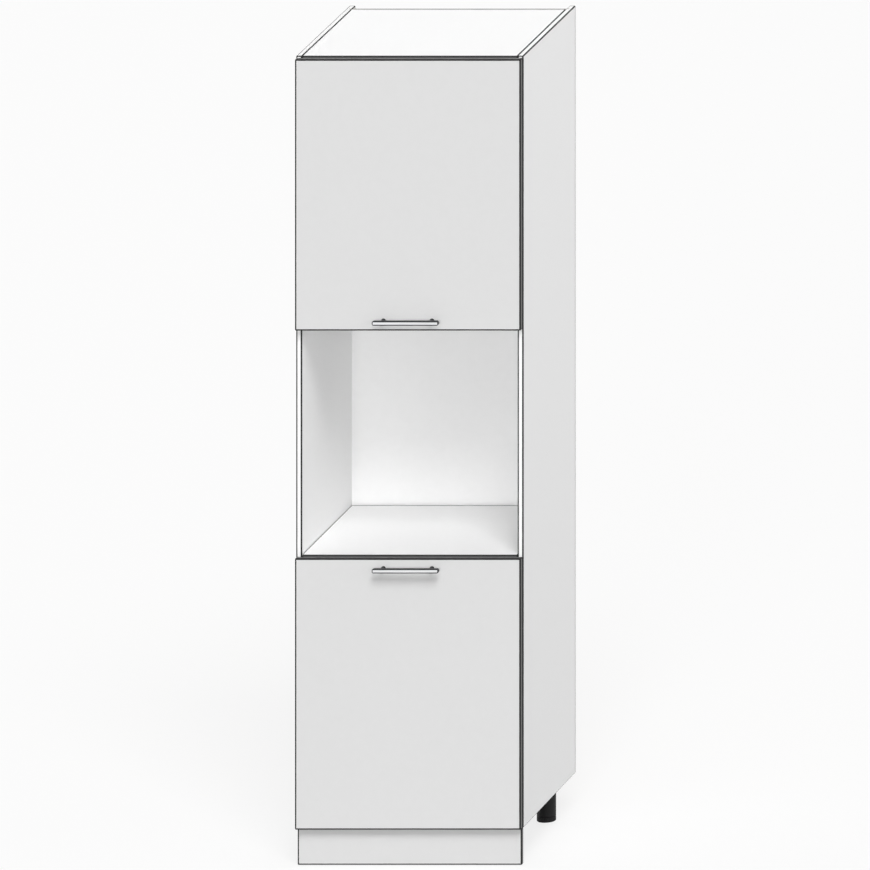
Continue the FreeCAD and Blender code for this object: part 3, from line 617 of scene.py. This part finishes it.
class CABINET_OT_sides(bpy.types.Operator):
    """Side boards with dark eased bands, the back groove and the spare peg holes"""

    bl_idname = "cabinet.sides"
    bl_label = "Side boards"

    def execute(self, context):
        back_low = box_of("back_panel")[0]
        for side in SIDES:
            name = side + "_side_panel"
            low, high = box_of(name)
            materials, sides = carcass_finish(("-Z",))
            item = piece(name + "_board", eased_block(low, high, sizes().ease), CARCASS, materials,
                         (name,), sides=sides)
            left = side == "left"
            inner, way = (high[0], "-x") if left else (low[0], "+x")
            span = np.sort([inner, inner + (-GROOVE_DEEP if left else GROOVE_DEEP)])
            groove = block((span[0], back_low[1], low[2] - OVERRUN),
                           (span[1], back_low[1] + GROOVE_WIDE, high[2] + OVERRUN))
            cuts = [groove]
            for shelf in SHELVES:
                level = box_of(shelf)[0][2] - PEG_DROP
                for y in (low[1] + HOLE_INSET, back_low[1] - HOLE_INSET):
                    for z in (level - HOLE_PITCH, level + HOLE_PITCH):
                        cuts.append(drill(way, (inner, y, z), HOLE_RADIUS, GROOVE_DEEP, 20))
            carve(item, joined(*cuts), FINISH["chip"])
            # The rear band and the hairlines take the arris finish: painted shade carried on to the faces
            lap(item, "+Y", sizes().lap)
            lap(item, "-X" if left else "+X", sizes().ease + TOP_HAIRLINE, "+Z")
            for end in ("-X", "+X"):
                lap(item, end, sizes().ease + HAIRLINE, "-Y")
        return {"FINISHED"}


def cam_places(deck):
    """Where the cam locks of one deck open, and which way they run in."""
    low, high = box_of(deck)
    face, way = (high[2], "-z") if deck == "niche_ceiling" else (low[2], "+z")
    return [(way, (x, y, face)) for x in (low[0] + CAM_SIDE, high[0] - CAM_SIDE)
            for y in (low[1] + CAM_FRONT, high[1] - CAM_REAR)]


class CABINET_OT_decks(bpy.types.Operator):
    """Flat boards between the sides, with the round pockets of the cam locks"""

    bl_idname = "cabinet.decks"
    bl_label = "Decks"

    def execute(self, context):
        for name in DECKS:
            low, high = box_of(name)
            materials, sides = carcass_finish(("-X", "+X"), ("-Y",))
            item = piece(name + "_board", eased_block(low, high, sizes().ease), CARCASS, materials,
                         (name,), sides=sides)
            cuts = [drill(way, at, CAM_RADIUS, CAM_DEEP, 32) for way, at in cam_places(name)]
            carve(item, joined(*cuts), FINISH["chip"])
            # The rear band takes the arris finish: painted shade carried on to the faces
            lap(item, "+Y", sizes().lap)
        return {"FINISHED"}


class CABINET_OT_shelves(bpy.types.Operator):
    """Loose shelves with a banded front edge"""

    bl_idname = "cabinet.shelves"
    bl_label = "Shelves"

    def execute(self, context):
        for name in SHELVES:
            materials, sides = carcass_finish(("+Y", "-X", "+X"))
            piece(name + "_board", eased_block(*box_of(name), sizes().ease), CARCASS, materials,
                  (name,), sides=sides)
        return {"FINISHED"}


class CABINET_OT_back(bpy.types.Operator):
    """Hardboard back: lacquered inside, raw behind"""

    bl_idname = "cabinet.back"
    bl_label = "Back sheet"

    def execute(self, context):
        materials = [FINISH["sheet"], FINISH["fibre"], FINISH["sawn"]]
        sides = {"arris": 2, "-Y": 0, "+Y": 1}
        piece("back_sheet", eased_block(*box_of("back_panel"), SHEET_EASE), CARCASS, materials,
              ("back_panel",), sides=sides)
        return {"FINISHED"}


def front_sides():
    """Which side of a front has which material: face, scraped corners and band."""
    sides = dict.fromkeys(DIRECTIONS, BAND)
    sides.update({"arris": ARRIS, "-Y": FACE, "+Y": FACE})
    return sides


class CABINET_OT_doors(bpy.types.Operator):
    """Door leaves with dark eased edges and the round pockets of the hinge cups"""

    bl_idname = "cabinet.doors"
    bl_label = "Doors"

    def execute(self, context):
        for door in DOORS:
            name = door + "_door"
            low, high = box_of(name)
            materials = [FINISH["front"], FINISH["arris"], FINISH["edge"]]
            slab = eased_block(low, high, sizes().door_ease, 4)
            item = piece(name + "_leaf", slab, door + "_leaf", materials, (name,),
                         sides=front_sides())
            cuts = []
            for end in ("low", "high"):
                cup_low, cup_high = box_of("%s_%s_hinge_cup" % (name, end))
                at = ((cup_low[0] + cup_high[0]) / 2, high[1], (cup_low[2] + cup_high[2]) / 2)
                cuts.append(drill("-y", at, CUP_RADIUS, CUP_DEEP, 48))
            carve(item, joined(*cuts), FINISH["chip"])
            # The hairlines round the door face take the arris finish: painted shade
            for way in ("-X", "+X", "-Z", "+Z"):
                lap(item, way, sizes().door_ease + HAIRLINE, "-Y")
        return {"FINISHED"}


class CABINET_OT_plinth(bpy.types.Operator):
    """Plinth board with dark banded edges"""

    bl_idname = "cabinet.plinth"
    bl_label = "Plinth"

    def execute(self, context):
        materials = [FINISH["front"], FINISH["arris"], FINISH["edge"]]
        item = piece("plinth_board", eased_block(*box_of("plinth"), sizes().ease), CARCASS, materials,
                     ("plinth",), sides=front_sides())
        # The hairlines round the plinth face take the arris finish: painted shade
        for way in ("-X", "+X", "-Z"):
            lap(item, way, sizes().ease + HAIRLINE, "-Y")
        return {"FINISHED"}


class CABINET_OT_handles(bpy.types.Operator):
    """Bar handles: a rounded bar with a dark rim, on two posts with flared feet"""

    bl_idname = "cabinet.handles"
    bl_label = "Handles"

    def execute(self, context):
        for door in DOORS:
            bar = door + "_handle_bar"
            shape = eased_block(*box_of(bar), BAR_EASE, BAR_STEPS, BAR_CORNER)
            grip = piece(bar + "_grip", shape, door + "_leaf", [FINISH["handle"], FINISH["rim"]],
                         (bar,), sharp=60,
                         sides={"arris": ARRIS, "-Y": FACE, "+Y": FACE})
            # The rim and the hairlines round the bar's face are painted shade
            for way in ("-X", "+X", "-Z", "+Z"):
                lap(grip, way, BAR_EASE + HAIRLINE, "-Y")
            posts = []
            for box in solids_of(door + "_handle_posts"):
                start, deep, foot = along(box, "+y")
                neck = foot - max(out for out, up in POST_FLARE)
                flare = [(neck + out, deep - up) for out, up in POST_FLARE]
                profile = [(0.0, -POST_SINK), (neck, -POST_SINK), *flare, (0.0, deep)]
                posts.append(placed(lathe(profile, 40), "+y", start))
            piece(door + "_handle_post_pair", joined(*posts), door + "_leaf", [FINISH["rim"]],
                  (door + "_handle_posts",), sharp=40)
        return {"FINISHED"}


class CABINET_OT_screws(bpy.types.Operator):
    """Cross-recessed screws of hinges, handles and plinth clips"""

    bl_idname = "cabinet.screws"
    bl_label = "Screws"

    def execute(self, context):
        groups = [("hinge_plate_screws", CARCASS, "-x", PLATE_SCREW),
                  ("plinth_clip_screws", CARCASS, "-y", WOOD_SCREW)]
        for door in DOORS:
            groups.append((door + "_door_cup_screws", door + "_leaf", "-y", WOOD_SCREW))
            groups.append((door + "_handle_screws", door + "_leaf", "-y", HANDLE_SCREW))
        for name, body, axis, kind in groups:
            shapes = [driven_screw(box, axis, *kind) for box in solids_of(name)]
            piece(name + "_set", joined(*shapes), body, [FINISH["zinc"]], (name,), sharp=40)
        return {"FINISHED"}


class CABINET_OT_adjusters(bpy.types.Operator):
    """The two screws on each hinge arm: side adjuster in front, fixing screw in the slot"""

    bl_idname = "cabinet.adjusters"
    bl_label = "Hinge adjusters"

    def execute(self, context):
        shapes = []
        below = (-ADJUSTER_DEEP, -ADJUSTER_RADIUS, -ADJUSTER_RADIUS)
        above = (ADJUSTER[0], ADJUSTER_RADIUS, ADJUSTER_RADIUS)
        for door in DOORS:
            for end in ("low", "high"):
                low, high = box_of("%s_door_%s_hinge_arm" % (door, end))
                for back in ADJUSTER_PLACES:
                    centre = np.array([high[0], high[1] - back, (low[2] + high[2]) / 2])
                    shapes.append(driven_screw((centre + below, centre + above), "-x", *ADJUSTER))
        piece("hinge_adjuster_set", joined(*shapes), CARCASS, [FINISH["zinc"]], (), sharp=40)
        return {"FINISHED"}


class CABINET_OT_cams(bpy.types.Operator):
    """Cam locks: a cast drum with a cross recess and a pointer on its face"""

    bl_idname = "cabinet.cams"
    bl_label = "Cam locks"

    def execute(self, context):
        shapes = []
        for low, high in solids_of("cam_locks"):
            axis = "-z" if abs(box_of("niche_ceiling")[1][2] - high[2]) < NEAR else "+z"
            start, deep, radius = along((low, high), axis)
            pointer_x = math.copysign(radius * 0.72, start[0])

            def level(x, y):
                """Depth of the face: its lift, the cross, and a pointed mark on one side."""
                pointer = np.clip(1 - (np.abs(x - pointer_x) + np.abs(y)) / POINTER_SIZE, 0, 1)
                cross = cross_recess(x, y, radius * 0.52, radius * 0.15, CAM_CROSS)
                return CAM_LIFT + cross + POINTER_DEEP * pointer

            inner = radius - CAM_BEVEL
            face = polar_face(inner, level)
            drum = lathe([(inner, CAM_LIFT), (radius, CAM_LIFT + CAM_BEVEL), (radius, deep - CAM_HEEL),
                          (radius - CAM_HEEL, deep), (0.0, deep)], 64)
            shapes.append(placed(joined(face, drum), axis, start))
        piece("cam_lock_set", joined(*shapes), CARCASS, [FINISH["casting"]], ("cam_locks",),
              sharp=40)
        return {"FINISHED"}


class CABINET_OT_pegs(bpy.types.Operator):
    """Shelf pegs, dowels and door bumpers turned to shape"""

    bl_idname = "cabinet.pegs"
    bl_label = "Pegs, dowels and bumpers"

    def execute(self, context):
        pegs = []
        for low, high in solids_of("shelf_pins"):
            axis = "+x" if low[0] < 0 else "-x"
            start, long, radius = along((low, high), axis)
            pin = radius * PEG_PIN
            profile = [(0.0, 0.0), (pin - 0.0006, 0.0), (pin, 0.0008), (pin, long / 2 - 0.0003),
                       (radius - 0.0003, long / 2), (radius, long / 2 + 0.0004), (radius, long - 0.0012),
                       (radius - 0.0004, long - 0.0004), (radius - 0.0012, long), (0.0, long)]
            pegs.append(placed(lathe(profile, 28), axis, start))
        piece("shelf_peg_set", joined(*pegs), CARCASS, [FINISH["nickel"]], ("shelf_pins",),
              sharp=40)
        dowels = []
        for box in solids_of("wood_dowels"):
            start, long, radius = along(box, "+x")
            tip = radius * DOWEL_TIP
            profile = [(0.0, 0.0), (tip, 0.0), (radius, DOWEL_BEVEL), (radius, long / 2),
                       (radius, long - DOWEL_BEVEL), (tip, long), (0.0, long)]
            shape = lathe(profile, 96, limit=lambda turn: radius * (1 - FLUTE_SHARE + FLUTE_SHARE
                                                                    * np.cos(turn * FLUTES)))
            dowels.append(placed(shape, "+x", start))
        piece("dowel_set", joined(*dowels), CARCASS, [FINISH["beech"]], ("wood_dowels",), sharp=50)
        for door in DOORS:
            name = door + "_door_bumpers"
            domes = []
            for box in solids_of(name):
                start, thick, radius = along(box, "+y")
                bend = np.linspace(0, math.pi / 2, 9)
                profile = np.stack([radius * np.cos(bend), thick * (0.25 + 0.75 * np.sin(bend))], 1)
                domes.append(placed(lathe([(0.0, 0.0), (radius, 0.0), *profile], 36), "+y", start))
            piece(name + "_pair", joined(*domes), door + "_leaf", [FINISH["bumper"]], (name,))
        return {"FINISHED"}


class CABINET_OT_legs(bpy.types.Operator):
    """Adjustable legs: a grooved tube, and a foot with a scalloped rim on a threaded stem"""

    bl_idname = "cabinet.legs"
    bl_label = "Legs"

    def execute(self, context):
        for end in ("front", "rear"):
            for side in SIDES:
                name = "%s_%s_leg" % (end, side)
                start, long, radius = along(box_of(name + "_tube"), "+z")
                bore, lip, waist = (radius - size for size in (TUBE_WALL, TUBE_BEVEL, TUBE_GROOVE))
                groove = zip((radius, waist, waist, radius), (long - level for level in GROOVE_LEVELS))
                profile = [(bore, 0.0), (lip, 0.0), (radius, TUBE_BEVEL), *groove,
                           (radius, long - TUBE_BEVEL), (lip, long), (bore, long)]
                piece(name + "_tube_shell", placed(lathe(profile, 96, closed=True), "+z", start), CARCASS,
                      [FINISH["plastic"]], (name + "_tube",), sharp=30)
                low, high = box_of(name + "_foot")
                start[2] = low[2]
                under = [(radius - inset, up) for inset, up in DISC_UNDER]
                over = [(radius - inset, DISC_TALL - down) for inset, down in DISC_OVER]
                profile = [(0.0, 0.0), *under, *over, (0.0, DISC_TALL)]
                disc = lathe(profile, 480, limit=lambda turn: scallops(turn, radius, SCALLOPS,
                                                                       SCALLOP_RADIUS, SCALLOP_DEEP))
                stem = threaded(DISC_TALL - STEM_SINK, high[2] - low[2], STEM_PITCH, STEM_RADIUS,
                                STEM_THREAD, count=48)
                piece(name + "_foot_disc", placed(joined(disc, stem), "+z", start),
                      "%s_%s_levelling_foot" % (end, side), [FINISH["plastic"]], (name + "_foot",),
                      sharp=30)
        return {"FINISHED"}


class CABINET_OT_hardware(bpy.types.Operator):
    """Finishes for the hardware that keeps its solid shape"""

    bl_idname = "cabinet.hardware"
    bl_label = "Hardware"

    def execute(self, context):
        slots = {"handle_metal": "handle", "black_plastic": "plastic", "nickel_steel": "nickel",
                 "zinc_steel": "zinc", "zinc_casting": "casting", "beech": "beech", "clear_rubber": "bumper"}
        for part in frame["record"]["subparts"]:
            finish = slots.get(part["material_slot"])
            if not finish:
                continue
            mesh = frame["nodes"][part["node"]].data
            mesh.materials.clear()
            mesh.materials.append(FINISH[finish])
        return {"FINISHED"}


# Soft lamps: name, direction to the lamp, strength, and its spread in degrees
LAMPS = (
    ("overhead", (0.10, -0.10, 1.0), 0.12, 40),
    ("front_high", (0.36, -1.0, 1.20), 2.0, 25),
    ("front_level", (0.06, -1.0, 0.15), 0.92, 15),
    ("corner", (1.0, -1.0, 0.15), 0.36, 25),
    ("flank", (1.0, -0.10, 0.0), 1.18, 40),
    ("far_flank", (-1.0, 0.25, 0.0), 1.2, 40),
    ("rear", (-0.10, 1.0, 0.0), 1.2, 40),
)


# The floor's paint as the light meets it, and the share of it that glows where it is seen
FLOOR_PAINT = "#B0B0B0"
FLOOR_GLOW = 0.80
FLOOR_HALF = 18
FLOOR_THICK = 0.02
# Strength of the even light from all round
FILL = 0.22
# Direction to the camera, and the point that it looks at
SLANT = (0.25, -1, 0.25)
AIM = (-0.0034, 0.0255, 1.0661)


def looked_at(tree):
    """One where a ray comes from the camera, off a shiny piece or through a clear one, else nil."""
    path = node(tree, "ShaderNodeLightPath")
    value = path.outputs["Is Camera Ray"]
    for kind in ("Is Glossy Ray", "Is Transmission Ray"):
        either = node(tree, "ShaderNodeMath", operation="MAXIMUM")
        tree.links.new(value, either.inputs[0])
        tree.links.new(path.outputs[kind], either.inputs[1])
        value = either.outputs["Value"]
    return value


def mixed_shader(tree, share, first, second):
    """Mix two shaders. share is a number or a socket: nil gives the first, one the second."""
    mix = node(tree, "ShaderNodeMixShader")
    if isinstance(share, float):
        mix.inputs["Fac"].default_value = share
    else:
        tree.links.new(share, mix.inputs["Fac"])
    tree.links.new(first.outputs[0], mix.inputs[1])
    tree.links.new(second.outputs[0], mix.inputs[2])
    return mix


def floor_finish():
    """Pale floor paint, seen as white and giving back half of the light that falls on it."""
    material = bpy.data.materials.new("floor_painted")
    material.use_nodes = True
    tree = material.node_tree
    tree.nodes.clear()
    paint = node(tree, "ShaderNodeBsdfDiffuse", Color=(*linear(FLOOR_PAINT), 1))
    bright = node(tree, "ShaderNodeBsdfDiffuse", Color=(*colours().floor, 1))
    glow = node(tree, "ShaderNodeEmission", Strength=1.0)
    soft = mixed_shader(tree, FLOOR_GLOW, bright, glow)
    seen = mixed_shader(tree, looked_at(tree), paint, soft)
    node(tree, "ShaderNodeOutputMaterial", {"Surface": seen.outputs["Shader"]})
    return material


def sky(scene):
    """Even light from all round: white where it is seen, weaker where it only lights."""
    world = bpy.data.worlds.new("studio")
    scene.world = world
    world.use_nodes = True
    tree = world.node_tree
    tree.nodes.clear()
    fill = node(tree, "ShaderNodeBackground", Color=(1, 1, 1, 1), Strength=FILL)
    white = node(tree, "ShaderNodeBackground", Color=(1, 1, 1, 1), Strength=1.0)
    mix = mixed_shader(tree, looked_at(tree), fill, white)
    node(tree, "ShaderNodeOutputWorld", {"Surface": mix.outputs["Shader"]})


class CABINET_OT_stage(bpy.types.Operator):
    """Floor, light and camera at the angle of the picture"""

    bl_idname = "cabinet.stage"
    bl_label = "Stage"

    def execute(self, context):
        scene = context.scene
        scene.view_settings.view_transform = "Standard"
        grid, faces = block((-FLOOR_HALF, -FLOOR_HALF, -FLOOR_THICK), (FLOOR_HALF, FLOOR_HALF, 0.0))
        mesh = bpy.data.meshes.new("floor")
        mesh.from_pydata(grid.tolist(), [], faces)
        mesh.materials.append(floor_finish())
        floor = bpy.data.objects.new("floor", mesh)
        scene.collection.objects.link(floor)

        sky(scene)
        for name, way, strength, spread in LAMPS:
            lamp = bpy.data.lights.new(name, "SUN")
            lamp.energy = strength
            lamp.angle = math.radians(spread)
            light = bpy.data.objects.new(name, lamp)
            light.rotation_mode = "QUATERNION"
            light.rotation_quaternion = Vector(way).to_track_quat("Z", "Y")
            scene.collection.objects.link(light)

        # The picture is an oblique drawing: the front is square on and the depth runs up
        # to the right by a quarter. A very long lens on slanted axes gives the same lines.
        lens = bpy.data.cameras.new("camera")
        lens.lens = sizes().lens
        lens.clip_start = 1
        lens.clip_end = 200
        camera = bpy.data.objects.new("camera", lens)
        scene.collection.objects.link(camera)
        holder = bpy.data.objects.new("camera_holder", None)
        scene.collection.objects.link(holder)
        away = Vector(SLANT).normalized()
        at = Vector(AIM) + away * sizes().wide * lens.lens / lens.sensor_width
        slant = Matrix(((1, 0, away.x, at.x), (0, 0, away.y, at.y), (0, 1, away.z, at.z), (0, 0, 0, 1)))
        camera.parent = holder
        camera.matrix_parent_inverse = slant
        scene.camera = camera
        return {"FINISHED"}


class CABINET_PT_panel(bpy.types.Panel):
    """Lists the cabinet's steps and finishes"""

    bl_idname = "CABINET_PT_panel"
    bl_label = "Cabinet"
    bl_space_type = "VIEW_3D"
    bl_region_type = "UI"
    bl_category = "Cabinet"

    def draw(self, context):
        for step in STEPS:
            self.layout.operator(step.bl_idname)
        for name in CabinetColours.__annotations__:
            self.layout.prop(context.scene.cabinet_colours, name)
        for name in CabinetSizes.__annotations__:
            self.layout.prop(context.scene.cabinet_sizes, name)


STEPS = (CABINET_OT_sides, CABINET_OT_decks, CABINET_OT_shelves, CABINET_OT_back, CABINET_OT_doors,
         CABINET_OT_plinth, CABINET_OT_handles, CABINET_OT_screws, CABINET_OT_adjusters,
         CABINET_OT_cams, CABINET_OT_pegs, CABINET_OT_legs, CABINET_OT_hardware, CABINET_OT_stage)
CLASSES = (CabinetColours, CabinetSizes, *STEPS, CABINET_PT_panel)


def register():
    """Register the classes and hang the settings on the scene."""
    for item in CLASSES:
        bpy.utils.register_class(item)
    bpy.types.Scene.cabinet_colours = bpy.props.PointerProperty(type=CabinetColours)
    bpy.types.Scene.cabinet_sizes = bpy.props.PointerProperty(type=CabinetSizes)


def unregister():
    """Take the settings and classes away again."""
    del bpy.types.Scene.cabinet_sizes
    del bpy.types.Scene.cabinet_colours
    for item in reversed(CLASSES):
        bpy.utils.unregister_class(item)


def main():
    """Build the looks step by step."""
    register()
    make_finishes()
    for step in STEPS:
        group, name = step.bl_idname.split(".")
        getattr(getattr(bpy.ops, group), name)()


if __name__ == "__main__":
    main()
